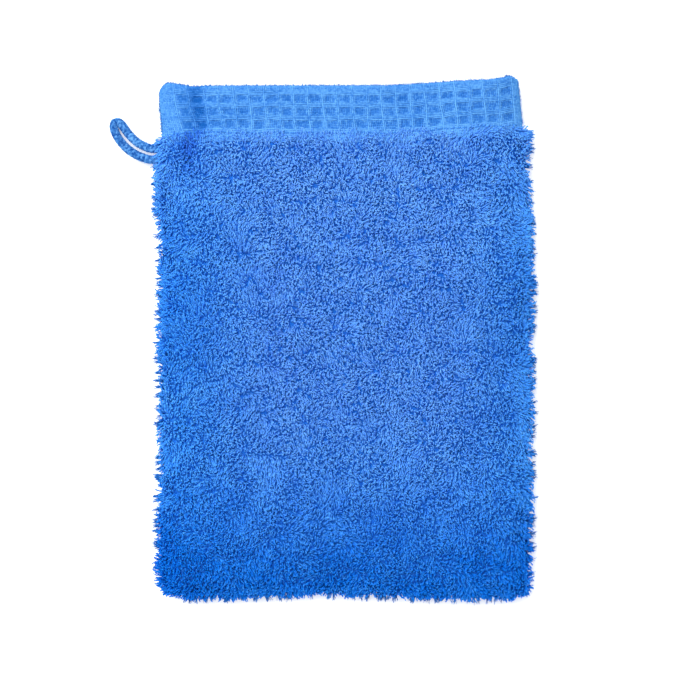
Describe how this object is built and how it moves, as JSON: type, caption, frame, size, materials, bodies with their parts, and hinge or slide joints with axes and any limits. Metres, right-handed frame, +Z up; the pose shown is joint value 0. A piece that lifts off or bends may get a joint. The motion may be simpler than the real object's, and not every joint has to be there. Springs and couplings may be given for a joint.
{
  "type": "wash mitt",
  "caption": "Flat rectangular wash mitt in looped cotton terry, with a waffle-woven border at its open end and a cord loop at its side to hang it by.",
  "frame": {"origin": "under the middle of the mitt, on the surface that its back panel lies on", "axes": "+Z up through the front panel, +Y towards the open end, +X towards the side without the hanging loop"},
  "size_m": [0.1751, 0.217, 0.0154],
  "materials": {
    "terry_cotton": "looped pile",
    "waffle_cotton": "waffle weave",
    "loop_cord": "braided cord",
    "sewing_thread": "matt thread"
  },
  "bodies": {
    "mitt": {"front_terry_panel": "terry_cotton", "back_terry_panel": "terry_cotton", "front_waffle_border": "waffle_cotton", "back_waffle_border": "waffle_cotton", "front_hem_turnup": "waffle_cotton", "back_hem_turnup": "waffle_cotton", "front_hem_stitch": "sewing_thread", "back_hem_stitch": "sewing_thread", "left_seam_allowance": "terry_cotton", "right_seam_allowance": "terry_cotton", "bottom_seam_allowance": "terry_cotton", "left_overlock_thread": "sewing_thread", "right_overlock_thread": "sewing_thread", "bottom_overlock_thread": "sewing_thread", "loop_anchor": "loop_cord"},
    "loop": {"hanging_loop": "loop_cord"}
  },
  "joints": [
    {"name": "loop_swing", "type": "hinge", "parent": "mitt", "child": "loop", "pos_m": [-0.08, 0.0762, 0.0048], "axis": [0, 1, 0], "range_deg": [0, 100]}
  ]
}
